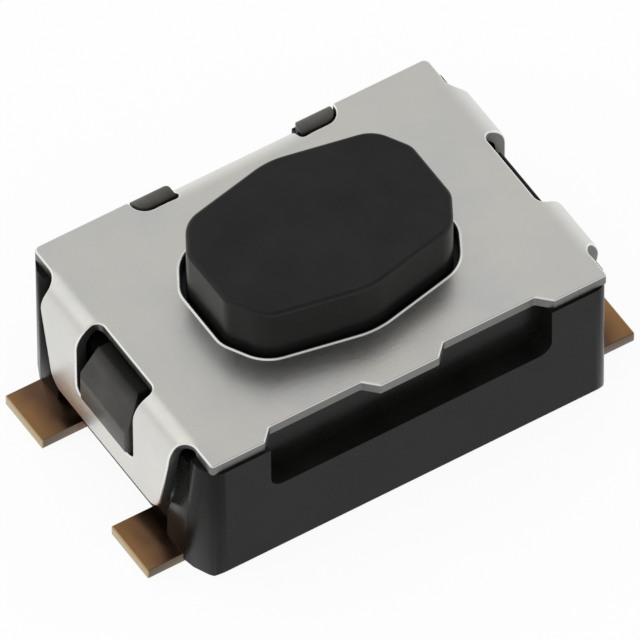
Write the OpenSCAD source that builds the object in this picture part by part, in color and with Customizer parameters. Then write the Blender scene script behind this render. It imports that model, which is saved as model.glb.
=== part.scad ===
// Microminiature surface-mount tactile push button switch, 4.2 x 2.8 mm body, 1.9 mm high.
// The origin is at the middle of the footprint, on the board. X runs along the body, Z is up.

/* [Base housing] */
// Length of the base at its foot
base_len = 4.02; // [3.98:0.01:4.1]
// Width of the base
base_wid = 2.80; // [2.76:0.01:3.0]
// Height of the base's walls, which carry the cover
base_h = 1.30; // [1.25:0.01:1.5]
// How far each end wall leans in from foot to top
end_lean = 0.06; // [0.02:0.01:0.09]
// Corner cut of the base, measured along the length
corner_x = 0.14; // [0.08:0.01:0.18]
// Corner cut of the base, measured along the width
corner_y = 0.30; // [0.15:0.01:0.32]
// Rounding of the upright edges of the base
base_round = 0.15; // [0.02:0.01:0.18]
// Bevel along the foot of the base
foot_bevel = 0.04; // [0.01:0.01:0.06]
// Length of the open pocket in the near side
pocket_len = 2.70; // [2.4:0.01:2.9]
// Depth of the open pocket in the near side
pocket_depth = 0.18; // [0.08:0.01:0.2]
// Height of the pocket's floor
pocket_z = 0.82; // [0.6:0.01:0.95]
// Rounding of the pocket's lower corners
pocket_round = 0.12; // [0.03:0.01:0.15]
// Rounding of the posts in the cover's far notches, at the corner beside the far flap
post_round = 0.08; // [0.03:0.01:0.1]
// Diameter of the core-pin holes under the contacts
core_hole_d = 0.36; // [0.2:0.01:0.44]

/* [Cover] */
// Thickness of the cover's sheet
sheet_t = 0.11; // [0.08:0.01:0.13]
// How far the lugs stay back from the foot of the end walls
lug_inset = 0.11; // [0.08:0.005:0.16]
// How far the cover's edges stay back from the side walls
side_inset = 0.025; // [0:0.005:0.05]
// How far the end flaps stand out past the foot of the end walls
flap_proud = 0.065; // [0.04:0.005:0.11]
// Outer radius of the cover's bends
bend_r = 0.25; // [0.2:0.01:0.28]
// Width of an end flap where it leaves the flat
flap_wid = 1.96; // [1.8:0.01:2.1]
// Width of an end flap at its lower edge
flap_foot_wid = 1.62; // [1.5:0.01:1.8]
// Height of the end flaps' lower edge above the board
flap_z = 0.385; // [0.34:0.005:0.6]
// Rounding of the end flaps' lower corners
flap_round = 0.18; // [0.05:0.01:0.24]
// Radius of the relief between an end flap and a lug
relief_r = 0.13; // [0.06:0.01:0.14]
// Width of the flap on the far side
side_flap_wid = 1.18; // [0.9:0.01:1.4]
// Height of the far flap's lower edge above the board
side_flap_z = 0.40; // [0.34:0.01:0.8]
// Rounding of the far flap's lower corners
side_flap_round = 0.10; // [0.03:0.01:0.2]
// Length of each far notch beside that flap
post_notch_len = 0.39; // [0.3:0.01:0.46]
// Depth of the far notches
post_notch_in = 0.17; // [0.1:0.01:0.2]
// Width of the tab in the middle of the near side
near_tab_wid = 0.56; // [0.4:0.01:0.8]
// Length over both near notches
near_notch_span = 2.78; // [2.5:0.01:3.0]
// Depth of the near notches
near_notch_in = 0.12; // [0.06:0.01:0.15]
// Slope of the near notches' ends, measured along the length
near_notch_slope = 0.12; // [0.06:0.01:0.2]
// Rounding of the sheet's small corners
sheet_round = 0.03; // [0.01:0.01:0.04]
// Rounding of the cover's two far corners
far_corner_round = 0.06; // [0.02:0.01:0.1]
// Rounding inside the far notches, at their outer ends
notch_round = 0.14; // [0.03:0.01:0.14]

/* [Latches] */
// Width of the latch window in an end flap
window_wid = 0.87; // [0.6:0.01:1.0]
// Height of the window's lower edge above the board
window_z = 0.66; // [0.6:0.01:0.8]
// Rounding of the window's corners
window_round = 0.08; // [0.02:0.01:0.12]
// Gap beside the latch boss in its window
boss_gap = 0.06; // [0.03:0.01:0.1]
// How far the latch boss stands out of the flap's face
boss_proud = 0.015; // [0:0.005:0.04]
// Height at which the boss's front begins to slope back, so that the flap slides over it
boss_z = 0.92; // [0.85:0.01:1.0]
// How far that slope leans back from there to the boss's top
boss_slope = 0.16; // [0.14:0.01:0.2]
// Width of the boss at its top
boss_top_wid = 0.60; // [0.4:0.01:0.68]
// Rounding of the boss's upper edge
boss_round = 0.03; // [0.01:0.005:0.04]
// Rounding of the boss's upright edges
boss_side_round = 0.05; // [0.01:0.01:0.08]

/* [Actuator] */
// Length of the button over its flat ends
button_len = 2.17; // [2.0:0.01:2.25]
// Width of the button at its middle, before the peak is rounded
button_wid = 1.61; // [1.5:0.01:1.65]
// Width of the button's flat ends, before rounding
button_end_wid = 0.60; // [0.4:0.01:0.8]
// Width of the button at its shoulders, before rounding
button_shoulder_wid = 1.23; // [1.1:0.01:1.35]
// Distance of the shoulders from the ends
button_shoulder_in = 0.18; // [0.15:0.01:0.3]
// Rounding of the corners of the button's flat ends
end_round = 0.34; // [0.1:0.01:0.36]
// Rounding of the button's shoulders
shoulder_round = 0.30; // [0.1:0.01:0.36]
// Rounding of the peak in the middle of each long side
peak_round = 0.70; // [0.2:0.01:1.2]
// Height of the button's top above the board
button_z = 1.90; // [1.8:0.01:2.5]
// Rounding of the edge round the button's top
button_edge = 0.04; // [0.01:0.01:0.05]
// Gap between the button and the hole in the cover
hole_gap = 0.045; // [0.03:0.005:0.06]
// How far the retaining flange reaches past the hole, all round
flange_lap = 0.15; // [0.1:0.01:0.17]
// Thickness of the retaining flange
flange_t = 0.20; // [0.12:0.01:0.24]
// Play between the flange and its well in the base
well_gap = 0.05; // [0.02:0.01:0.06]
// Travel of the button
travel = 0.20; // [0.1:0.01:0.22]
// Diameter of the nub that presses the dome
nub_d = 0.60; // [0.4:0.01:0.8]

/* [Snap dome and contacts] */
// Diameter of the snap dome
dome_d = 1.86; // [1.6:0.01:1.9]
// Height of the dome's crown over its rim
dome_rise = 0.27; // [0.24:0.01:0.32]
// Thickness of the dome
dome_t = 0.05; // [0.03:0.005:0.07]
// Thickness of the terminals and contacts
lead_t = 0.10; // [0.08:0.01:0.12]
// Width of a terminal
lead_wid = 0.565; // [0.4:0.005:0.6]
// Distance between the two terminals of an end
lead_pitch = 1.63; // [1.5:0.01:1.65]
// How far a terminal reaches out past the foot of the end wall
lead_reach = 0.34; // [0.24:0.01:0.5]
// How far the flat foot of a terminal reaches under the base
lead_tuck = 0.15; // [0.1:0.01:0.2]
// Length of the slope up to the buried part of a terminal
lead_slope = 0.16; // [0.12:0.01:0.2]
// Width of the buried strips that join the terminals
strip_wid = 0.34; // [0.2:0.01:0.4]
// Height of the contact floor that the dome stands on
floor_z = 0.40; // [0.36:0.01:0.46]
// Diameter of the centre contact's pad
pad_d = 0.50; // [0.3:0.01:0.7]
// Width of the rim contact's ring under the dome's edge
ring_wid = 0.24; // [0.16:0.01:0.3]
// How far that ring reaches out past the dome's edge
ring_margin = 0.04; // [0.01:0.01:0.05]

/* [Fits] */
// Clearance between pieces that seat in each other
fit = 0.02; // [0.01:0.005:0.03]
// Gap between an end flap and the wall behind it
flap_gap = 0.05; // [0.03:0.01:0.07]
// Room round the edges of a flap in its seat
seat_room = 0.03; // [0.02:0.01:0.05]
// How much more room an end flap has beside its bend than at its lower edge
seat_flare = 0.05; // [0:0.01:0.09]

/* [Hidden] */
$fn = 64;
// How far a cut runs past the surface that it opens
past = 1;
cover_top = base_h + sheet_t;
cover_len = base_len - 2 * lug_inset;
cover_wid = base_wid - 2 * side_inset;
flap_span = base_len + 2 * flap_proud;
lead_span = base_len + 2 * lead_reach;
inner_bend = bend_r - sheet_t;
flap_in = flap_span / 2 - sheet_t;
seat_x = flap_in - flap_gap;
// How far a wall's top is cut back and down under a bend
rebate = inner_bend + fit;
bend_z = cover_top - bend_r;
notch_arc = min(notch_round, post_notch_in - sheet_round);
flat_end = flap_span / 2 - bend_r;
flat_far = base_wid / 2 - bend_r;
seat_y = base_wid / 2 - sheet_t - fit;
flange_top = base_h - fit;
flange_foot = flange_top - flange_t;
well_z = flange_foot - travel - 2 * fit;
crown_z = floor_z + dome_rise;
dome_r = (pow(dome_d / 2, 2) + pow(dome_rise, 2)) / (2 * dome_rise);
ring_out = dome_d / 2 + ring_margin;
lead_foot = base_len / 2 - lead_tuck;
lead_top = lead_foot - lead_slope;
strip_z = (floor_z - lead_t) / 2;
strip_y = (lead_pitch + lead_wid - strip_wid) / 2;

function unit(v) = v / norm(v);
function turned(v, a) = [v.x * cos(a) - v.y * sin(a), v.x * sin(a) + v.y * cos(a)];
function at(list, i) = list[(i + len(list)) % len(list)];
function normal_out(a, b) = turned(unit(b - a), -90);
function rect(x0, y0, x1, y1) = [[x0, y0], [x1, y0], [x1, y1], [x0, y1]];

// The outline's corners moved out by d along both of their edges
function grown(pts, d) = [
    for (i = [0:len(pts) - 1])
        let (
            n0 = normal_out(at(pts, i - 1), pts[i]),
            n1 = normal_out(pts[i], at(pts, i + 1))
        )
        pts[i] + d * (n0 + n1) / (1 + n0 * n1)
];

// One corner b, between a and c, as an arc of radius r
function arc_corner(a, b, c, r, steps) =
    let (
        u = unit(a - b),
        v = unit(c - b),
        half = acos(u * v) / 2,
        centre = b + unit(u + v) * (r / sin(half)),
        start = b + u * (r / tan(half)) - centre,
        sweep = (cross(u, v) > 0 ? -1 : 1) * (180 - 2 * half)
    )
    [for (k = [0:steps]) centre + turned(start, sweep * k / steps)];

// A closed outline with each corner rounded by its own radius
function rounded(pts, radii, steps = 6) = [
    for (i = [0:len(pts) - 1])
        each radii[i] > 0
            ? arc_corner(at(pts, i - 1), pts[i], at(pts, i + 1), radii[i], steps)
            : [pts[i]]
];

// An outline in one quarter or half, joined to its mirror image across the Y axis
function with_mirror(pts) = concat(pts, [for (i = [len(pts) - 1:-1:0]) [-pts[i].x, pts[i].y, pts[i].z]]);

// Outline drawn in X and Z, given depth from y0 to y1
module across(y0, y1) {
    translate([0, y1, 0]) rotate([90, 0, 0]) linear_extrude(y1 - y0) children();
}

// Outline drawn in Y and Z, given length from x0 to x1
module along(x0, x1) {
    translate([x0, 0, 0]) rotate([90, 0, 90]) linear_extrude(x1 - x0) children();
}

module both_ends() {
    children();
    mirror([1, 0, 0]) children();
}

// The button's outline: a long hexagon with its ends cut flat, and every corner rounded
module button_outline(grow) {
    tip = button_len / 2;
    shoulder = [tip - button_shoulder_in, button_shoulder_wid / 2];
    right = [
        [0, -button_wid / 2, peak_round],
        [shoulder.x, -shoulder.y, shoulder_round],
        [tip, -button_end_wid / 2, end_round],
        [tip, button_end_wid / 2, end_round],
        [shoulder.x, shoulder.y, shoulder_round],
        [0, button_wid / 2, peak_round],
    ];
    left = [for (i = [4:-1:1]) [-right[i].x, right[i].y, right[i].z]];
    corners = concat(right, left);
    polygon(rounded(grown([for (p = corners) [p.x, p.y]], grow), [for (p = corners) p.z + grow], 8));
}

// The cover seen from above, with its flaps folded down
module cover_plan() {
    lug = cover_len / 2;
    side = cover_wid / 2;
    tab = near_tab_wid / 2;
    notch = near_notch_span / 2;
    near_dent = side - near_notch_in;
    far_flap = side_flap_wid / 2;
    far_notch = far_flap + post_notch_len;
    far_dent = side - post_notch_in;
    near = [
        [tab, -side, sheet_round],
        [tab + near_notch_slope, -near_dent, sheet_round],
        [notch - near_notch_slope, -near_dent, sheet_round],
        [notch, -side, sheet_round],
    ];
    end = [
        [lug, -side, sheet_round],
        [lug, -flap_wid / 2, relief_r],
        [flap_span / 2, -flap_wid / 2, 0],
        [flap_span / 2, flap_wid / 2, 0],
        [lug, flap_wid / 2, relief_r],
        [lug, side, far_corner_round],
    ];
    far = [
        [far_notch, side, sheet_round],
        [far_notch, far_dent, notch_arc],
        [far_flap, far_dent, sheet_round],
        [far_flap, base_wid / 2, 0],
    ];
    outline = with_mirror(concat(near, end, far));
    polygon(rounded([for (p = outline) [p.x, p.y]], [for (p = outline) p.z]));
}

// A quarter bend and the straight leg below it, folded down at the +X end of a flat
module fold_down(span, wid, foot) {
    translate([span - bend_r, 0, bend_z]) rotate([90, 0, 0])
        rotate_extrude(angle = 90) translate([inner_bend, -wid / 2]) square([sheet_t, wid]);
    translate([span - sheet_t, -wid / 2, foot]) cube([sheet_t, wid, bend_z - foot]);
}

// The taper and the rounded lower corners of an end flap, drawn in Y and Z
module flap_face() {
    top = flap_wid / 2;
    foot = flap_foot_wid / 2;
    polygon(rounded(
        [[-foot, flap_z], [foot, flap_z], [top, bend_z], [top, cover_top], [-top, cover_top], [-top, bend_z]],
        [flap_round, flap_round, 0, 0, 0, 0]
    ));
    // Above the bend line the plan alone gives the flap its edge
    translate([-cover_wid / 2, bend_z]) square([cover_wid, bend_r]);
}

module side_flap_face() {
    half = side_flap_wid / 2;
    polygon(rounded(
        rect(-half, side_flap_z, half, cover_top),
        [side_flap_round, side_flap_round, 0, 0]
    ));
}

// The window's cut, rounded both on the flap's face and where it runs out on the flat
module latch_window() {
    half = window_wid / 2;
    inner = flat_end + fit;
    outer = flap_span / 2 + past;
    r = window_round;
    intersection() {
        along(inner, outer) polygon(rounded(rect(-half, window_z, half, cover_top + past), [r, r, 0, 0]));
        linear_extrude(cover_top + past) polygon(rounded(rect(inner, -half, outer, half), [r, 0, 0, r]));
    }
}

// The flat of the cover, cut short where the flaps' bends begin
module cover_flat() {
    reach = flap_wid / 2 + relief_r;
    translate([0, 0, base_h]) linear_extrude(sheet_t) difference() {
        cover_plan();
        both_ends() translate([flat_end, -reach]) square([past, 2 * reach]);
        translate([-side_flap_wid / 2, flat_far]) square([side_flap_wid, past]);
    }
}

// One sheet: the flat, an end flap at each end and a flap on the far side
module cover() {
    color("silver")
    difference() {
        union() {
            cover_flat();
            both_ends() intersection() {
                fold_down(flap_span / 2, flap_wid + 2 * relief_r, flap_z);
                linear_extrude(cover_top) cover_plan();
                along(flat_end - past, flap_span / 2 + past) flap_face();
            }
            intersection() {
                rotate([0, 0, 90]) fold_down(base_wid / 2, side_flap_wid, side_flap_z);
                across(flat_far - past, base_wid / 2 + past) side_flap_face();
            }
        }
        translate([0, 0, base_h - past]) linear_extrude(sheet_t + 2 * past) button_outline(hole_gap);
        both_ends() latch_window();
    }
}

// The button with the flange that the cover holds in, and the nub that presses the dome
module actuator() {
    steps = 4;
    edge_z = button_z - button_edge;
    color("#2e2e2e")
    union() {
        translate([0, 0, flange_foot]) linear_extrude(flange_t) button_outline(hole_gap + flange_lap);
        translate([0, 0, flange_foot]) linear_extrude(edge_z - flange_foot) button_outline(0);
        // The rounded edge of the top, in steps on a quarter circle
        for (i = [1:steps]) {
            angle = 90 * i / steps;
            inset = button_edge * (1 - cos(angle - 45 / steps));
            translate([0, 0, edge_z]) linear_extrude(button_edge * sin(angle)) button_outline(-inset);
        }
        translate([0, 0, crown_z + fit / 2]) cylinder(d = nub_d, h = flange_foot - crown_z);
    }
}

// A shell between two spheres, standing on the contacts by its rim
module snap_dome() {
    color("#c9c3b0")
    intersection() {
        translate([0, 0, crown_z - dome_r]) difference() {
            sphere(r = dome_r);
            sphere(r = dome_r - dome_t);
        }
        translate([0, 0, floor_z]) cylinder(d = dome_d, h = dome_rise + past);
    }
}

// A terminal's foot on the board and the slope up to its buried part, at the +X end
module terminal_leg(y) {
    buried = lead_top - lead_wid;
    across(y - lead_wid / 2, y + lead_wid / 2) polygon([
        [buried, strip_z],
        [lead_top, strip_z],
        [lead_foot, 0],
        [lead_span / 2, 0],
        [lead_span / 2, lead_t],
        [lead_foot + foot_bevel, lead_t],
        [lead_top + foot_bevel, strip_z + lead_t],
        [buried, strip_z + lead_t],
    ]);
}

// The buried strip that joins the two terminals of one side
module side_strip(side) {
    inner = lead_top - lead_wid / 2;
    translate([-inner, side * strip_y - strip_wid / 2, strip_z]) cube([2 * inner, strip_wid, lead_t]);
}

// Contact with the two near terminals, raised to a pad under the middle of the dome
module centre_contact() {
    color("#b08a4e")
    union() {
        both_ends() terminal_leg(-lead_pitch / 2);
        side_strip(-1);
        translate([-strip_wid / 2, -strip_y, strip_z]) cube([strip_wid, strip_y, lead_t]);
        translate([0, 0, strip_z]) cylinder(d = pad_d, h = floor_z - strip_z);
    }
}

// Contact with the two far terminals, raised to a half ring under the dome's rim
module rim_contact() {
    color("#b08a4e")
    union() {
        both_ends() terminal_leg(lead_pitch / 2);
        side_strip(1);
        translate([0, 0, strip_z]) rotate_extrude(angle = 180)
            translate([ring_out - ring_wid, 0]) square([ring_wid, floor_z - strip_z]);
    }
}

// The base seen from above: a rectangle with long, shallow corner cuts
module base_plan() {
    x = base_len / 2;
    y = base_wid / 2;
    quarter = [[x - corner_x, -y, 0], [x, corner_y - y, 0], [x, y - corner_y, 0], [x - corner_x, y, 0]];
    outline = with_mirror(quarter);
    polygon(rounded([for (p = outline) [p.x, p.y]], [for (p = outline) base_round]));
}

// The outside of the base: its plan, its leaning ends and its bevelled foot met in one solid
module base_block() {
    x = base_len / 2;
    y = base_wid / 2;
    b = foot_bevel;
    top = x - end_lean;
    intersection() {
        linear_extrude(base_h) base_plan();
        across(-base_wid, base_wid)
            polygon([[b - x, 0], [x - b, 0], [x, b], [top, base_h], [-top, base_h], [-x, b]]);
        along(-base_len, base_len)
            polygon([[b - y, 0], [y - b, 0], [y, b], [y, base_h], [-y, base_h], [-y, b]]);
    }
}

// The wedge that catches the window's lower edge, narrowed towards its top
module latch_boss() {
    half = window_wid / 2 - boss_gap;
    top = boss_top_wid / 2;
    foot = window_z + fit;
    out = flap_span / 2 + boss_proud;
    back = seat_x - rebate - fit;
    peak = base_h - fit;
    r = boss_side_round;
    side = [[back, foot], [out, foot], [out, boss_z], [out - boss_slope, peak], [back, peak]];
    front = [[-half, foot], [half, foot], [half, boss_z], [top, peak], [-top, peak], [-half, boss_z]];
    intersection() {
        across(-half, half) polygon(rounded(side, [0, 0, r, boss_round, 0]));
        along(back, out) polygon(rounded(front, [0, 0, r, boss_round, boss_round, r]));
        linear_extrude(base_h) polygon(rounded(rect(back, -half, out, half), [0, r, r, 0]));
    }
}

// The room that an end flap takes in the end wall at +X, tapered as the flap is
module end_seat() {
    top = flap_wid / 2 + seat_room + seat_flare;
    foot = flap_foot_wid / 2 + seat_room;
    root = flap_wid / 2 + relief_r + fit;
    along(seat_x, seat_x + past) polygon([
        [-foot, -past],
        [foot, -past],
        [foot, flap_z],
        [top, bend_z],
        [top, base_h + past],
        [-top, base_h + past],
        [-top, bend_z],
        [-foot, flap_z],
    ]);
    translate([seat_x - rebate, -root, base_h - rebate]) cube([past, 2 * root, past]);
}

// The room that the far flap takes in the far wall
module far_seat() {
    half = side_flap_wid / 2 + fit;
    foot = side_flap_z - seat_room;
    translate([-half, seat_y, foot]) cube([2 * half, past, past]);
    translate([-half, seat_y - rebate, base_h - rebate]) cube([2 * half, past, past]);
}

// A post that stands in one of the cover's far notches, level with the cover's top
module notch_post() {
    inner = side_flap_wid / 2 + fit;
    outer = side_flap_wid / 2 + post_notch_len - fit;
    y = base_wid / 2;
    back = cover_wid / 2 - post_notch_in + fit;
    translate([0, 0, base_h - fit]) linear_extrude(sheet_t + fit)
        polygon(rounded(rect(inner, back, outer, y), [fit, notch_arc - fit, fit, post_round]));
}

// The open pocket in the near side
module near_pocket() {
    half = pocket_len / 2;
    across(-base_wid, pocket_depth - base_wid / 2) polygon(rounded(
        rect(-half, pocket_z, half, base_h + past),
        [pocket_round, pocket_round, 0, 0]
    ));
}

// The well that the flange moves in, and the dome's well below it
module wells() {
    translate([0, 0, well_z]) linear_extrude(base_h) button_outline(hole_gap + flange_lap + well_gap);
    translate([0, 0, floor_z]) cylinder(d = dome_d + 2 * well_gap, h = base_h);
}

// The holes that the mould's core pins leave under the contacts, up to the buried metal
module core_holes() {
    ring_mid = ring_out - ring_wid / 2;
    translate([0, 0, -past]) cylinder(d = core_hole_d, h = past + strip_z);
    both_ends() translate([ring_mid, ring_wid, -past])
        cylinder(d = min(core_hole_d, ring_wid), h = past + strip_z);
}

// The moulding, with the contacts moulded in
module base_housing() {
    color("#2b2b2b")
    difference() {
        union() {
            difference() {
                base_block();
                both_ends() end_seat();
                far_seat();
            }
            both_ends() latch_boss();
            both_ends() notch_post();
        }
        near_pocket();
        wells();
        core_holes();
        centre_contact();
        rim_contact();
    }
}

base_housing();
cover();
actuator();
snap_dome();
centre_contact();
rim_contact();
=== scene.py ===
"""Dressed model of a microminiature surface-mount push button switch, built on its CAD frame."""

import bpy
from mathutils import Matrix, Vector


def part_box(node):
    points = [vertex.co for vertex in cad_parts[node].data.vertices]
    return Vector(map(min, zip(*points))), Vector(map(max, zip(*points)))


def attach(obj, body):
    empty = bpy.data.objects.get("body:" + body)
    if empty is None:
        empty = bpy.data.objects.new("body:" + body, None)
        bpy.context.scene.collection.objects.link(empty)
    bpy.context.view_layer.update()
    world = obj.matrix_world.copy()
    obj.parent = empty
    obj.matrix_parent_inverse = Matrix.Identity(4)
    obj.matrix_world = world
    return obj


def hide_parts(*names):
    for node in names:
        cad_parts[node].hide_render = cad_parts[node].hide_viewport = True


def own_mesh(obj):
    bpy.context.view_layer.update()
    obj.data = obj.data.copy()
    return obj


bl_info = {
    "name": "Tactile push button switch",
    "version": (1, 0, 0),
    "blender": (4, 5, 0),
    "location": "View3D > Sidebar > Push Switch",
    "description": "Builds a small surface-mount push button switch",
    "category": "Add Mesh",
}

import math
from functools import partial
from types import SimpleNamespace

import bmesh
import bpy
import numpy as np
from bpy.props import FloatProperty, FloatVectorProperty, IntProperty, PointerProperty
from mathutils import Matrix, Vector, geometry

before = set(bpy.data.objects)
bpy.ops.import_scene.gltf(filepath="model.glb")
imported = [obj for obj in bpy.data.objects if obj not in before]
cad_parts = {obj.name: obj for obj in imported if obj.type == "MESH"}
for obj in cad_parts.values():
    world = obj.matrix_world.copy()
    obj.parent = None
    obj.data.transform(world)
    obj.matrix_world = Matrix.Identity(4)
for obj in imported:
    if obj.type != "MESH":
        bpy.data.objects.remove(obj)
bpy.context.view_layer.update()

MM = 0.001
QUARTER = math.pi / 2
WHITE = (1.0, 1.0, 1.0, 1.0)


# Properties


def length(name, description, mm):
    """A size property, given in millimetres and kept in metres."""
    return FloatProperty(
        name=name, description=description, default=mm * MM, min=0.0, precision=5, unit="LENGTH"
    )


def share(name, description, value):
    """A plain factor between 0 and 1."""
    return FloatProperty(
        name=name, description=description, default=value, min=0.0, max=1.0, subtype="FACTOR"
    )


def colour(name, description, rgb):
    """A linear colour."""
    return FloatVectorProperty(
        name=name, description=description, default=rgb, size=3, min=0.0, max=1.0, subtype="COLOR"
    )


def degrees(name, description, turn):
    """A turn, given in degrees and kept in radians."""
    return FloatProperty(
        name=name, description=description, default=math.radians(turn), unit="ROTATION"
    )


def light(name, description, value):
    """How bright a light is."""
    return FloatProperty(name=name, description=description, default=value, min=0.0)


def own_properties(group):
    """A group's properties, less the two that every group has."""
    return [prop for prop in group.bl_rna.properties if prop.identifier not in ("rna_type", "name")]


def in_mm(group):
    """The group's values by name, with every length turned from metres to millimetres."""
    values = SimpleNamespace()
    for prop in own_properties(group):
        value = getattr(group, prop.identifier)
        if getattr(prop, "unit", "NONE") == "LENGTH":
            value /= MM
        setattr(values, prop.identifier, value)
    return values


class CoverSizes(bpy.types.PropertyGroup):
    """Sizes of the folded steel cover."""

    sheet: length("Sheet thickness", "Thickness of the cover's sheet", 0.11)
    top: length("Top height", "Height of the cover's upper face", 1.41)
    flat_length: length("Flat length", "Length of the flat, lug to lug", 3.80)
    flat_width: length("Flat width", "Width of the flat", 2.75)
    flap_span: length("Flap span", "Length over the two bent end flaps", 4.15)
    base_width: length("Far flap face", "Twice the far flap's distance from the middle", 2.80)
    bend: length("Bend radius", "Outer radius of the bends", 0.25)
    flap_width: length("Flap width", "Width of an end flap at the flat", 1.96)
    flap_foot_width: length("Flap foot width", "Width of an end flap at its lower edge", 1.62)
    flap_foot: length("Flap foot height", "Height of an end flap's lower edge", 0.385)
    flap_round: length("Flap rounding", "Rounding of an end flap's lower corners", 0.18)
    relief: length("Relief radius", "Radius between an end flap and a lug", 0.15)
    far_flap_width: length("Far flap width", "Width of the flap on the far side", 1.18)
    far_flap_foot: length("Far flap foot height", "Height of the far flap's lower edge", 0.40)
    far_flap_round: length("Far flap rounding", "Rounding of the far flap's lower corners", 0.10)
    far_notch: length("Far notch length", "Length of each notch beside the far flap", 0.39)
    far_notch_in: length("Far notch depth", "Depth of the notches beside the far flap", 0.17)
    notch_round: length("Far notch rounding", "Rounding at the far notches' outer ends", 0.14)
    near_tab: length("Near tab width", "Width of the near side's middle tab", 0.56)
    near_notch_span: length("Near notch span", "Length over both near notches", 2.78)
    near_notch_in: length("Near notch depth", "Depth of the near notches", 0.12)
    near_notch_slope: length("Near notch slope", "Slope of the near notches' ends", 0.12)
    corner: length("Sheet corner", "Rounding of the sheet's small corners", 0.03)
    far_corner: length("Far corner", "Rounding of the two far corners", 0.06)
    window_width: length("Window width", "Width of a latch window", 0.87)
    window_foot: length("Window foot", "Height of a latch window's lower edge", 0.66)
    window_round: length("Window rounding", "Rounding of a latch window's corners", 0.08)
    window_start: length("Window start", "How far past the bend line a latch window begins", 0.02)
    roll_over: length("Roll-over", "Rounding of the sheet's punched upper edges", 0.017)
    bead_rise: length("Bead height", "Height of the bead round the button's hole", 0.013)
    bead_foot: length("Bead slope", "Width of the bead's slope", 0.016)
    burr_edge: length("Lower edge", "Break of the sheet's lower edges", 0.008)


class ButtonSizes(bpy.types.PropertyGroup):
    """Sizes of the button and of the hole that follows its outline."""

    tip_length: length("Length", "Length over the flat ends", 2.17)
    width: length("Width", "Width at the middle, before rounding", 1.61)
    end_width: length("End width", "Width of the flat ends, before rounding", 0.60)
    shoulder_width: length("Shoulder width", "Width at the shoulders, before rounding", 1.23)
    shoulder_in: length("Shoulder setback", "Distance of the shoulders from the ends", 0.18)
    end_round: length("End rounding", "Rounding of the ends' corners", 0.20)
    shoulder_round: length("Shoulder rounding", "Rounding of the shoulders", 0.30)
    peak_round: length("Peak rounding", "Rounding of the long sides' peaks", 0.70)
    top: length("Top height", "Height of the button's top", 1.90)
    edge: length("Top edge", "Rounding of the edge round the top", 0.04)
    hole_gap: length("Hole gap", "Gap between the button and its hole", 0.045)
    flange_lap: length("Flange lap", "How far the flange reaches past the hole", 0.15)
    flange_top: length("Flange top", "Height of the flange's upper face", 1.28)
    flange: length("Flange thickness", "Thickness of the retaining flange", 0.20)
    inner_round: length("Inner rounding", "Rounding of the flange's and nub's edges", 0.02)
    nub: length("Nub diameter", "Diameter of the nub", 0.60)


class DomeSizes(bpy.types.PropertyGroup):
    """Sizes of the snap dome."""

    diameter: length("Diameter", "Diameter of the dome", 1.86)
    rise: length("Rise", "Height of the crown over the rim", 0.27)
    sheet: length("Thickness", "Thickness of the dome", 0.05)
    floor: length("Floor height", "Height that the dome stands at", 0.40)
    keep: share("Pressed height", "Share of its height that the pressed dome keeps", 0.26)


class MouldingSizes(bpy.types.PropertyGroup):
    """Small roundings of the pieces that keep their CAD shape."""

    base_edge: length("Base edge", "Rounding of the moulded base's edges", 0.014)
    post_round: length("Post rounding", "Rounding of the posts' far side", 0.08)
    contact_edge: length("Contact edge", "Rounding of the contacts' edges", 0.012)
    steps: IntProperty(
        name="Steps", description="Faces across each small rounding", default=3, min=1, max=6
    )


class Finishes(bpy.types.PropertyGroup):
    """Colours of the finishes."""

    steel: colour("Cover steel", "Satin stainless steel of the cover", (0.69, 0.685, 0.66))
    dome_steel: colour("Dome steel", "Spring steel of the snap dome", (0.62, 0.60, 0.55))
    button: colour("Button resin", "Matt resin of the button", (0.0115, 0.0115, 0.011))
    base: colour("Base resin", "Moulded resin of the base", (0.0078, 0.0074, 0.0068))
    plating: colour("Contact plating", "Plating toward the outer ends", (0.31, 0.165, 0.072))
    # Painted shade: the plating is painted darker toward the body, where shade falls
    shaded_plating: colour("Plating tarnish", "Darker plating toward the body", (0.14, 0.080, 0.050))
    # Painted highlight: the bare end faces are painted brighter
    ends: colour("Terminal ends", "Bare metal on the terminals' end faces", (0.46, 0.35, 0.19))
    # Painted shade: the sheared sides are dull metal, painted darker where shade falls
    sheared_and_shaded: colour("Sheared sides", "Dull metal on the sheared sides", (0.146, 0.113, 0.087))
    floor: colour("Floor", "Pale floor", (0.86, 0.86, 0.85))


class StageSettings(bpy.types.PropertyGroup):
    """The camera's place and the studio light."""

    azimuth: degrees("Azimuth", "Camera's turn round the switch", -31.879)
    elevation: degrees("Elevation", "Camera's angle over the board", 50.182)
    roll: degrees("Roll", "Camera's tilt in the picture", -0.451)
    distance: length("Distance", "Distance of the camera", 200.0)
    aim_height: length("Aim height", "Height of the point that the picture is placed by", 0.9)
    view_width: length("View width", "Width of the picture at that point", 5.2186)
    aim_down: length("Aim drop", "How far the picture's middle lies below that point", 0.1503)
    world_light: light("Surround", "Radiance of the plain surround on matt surfaces", 0.75)
    overhead: share("Overhead", "Share of its white that mirrors show overhead", 0.66)
    grey_to: share("Grey to", "Sine of the height at which it has that share", 0.80)
    front: share("Front", "Share of the light that the camera's side takes from mirrors", 0.40)
    key_light: light("Key lamp", "Radiance of the soft lamp behind", 0.4)
    side_light: light("Side lamp", "Radiance of the soft lamp at the side", 1.0)


# Shader expressions


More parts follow.
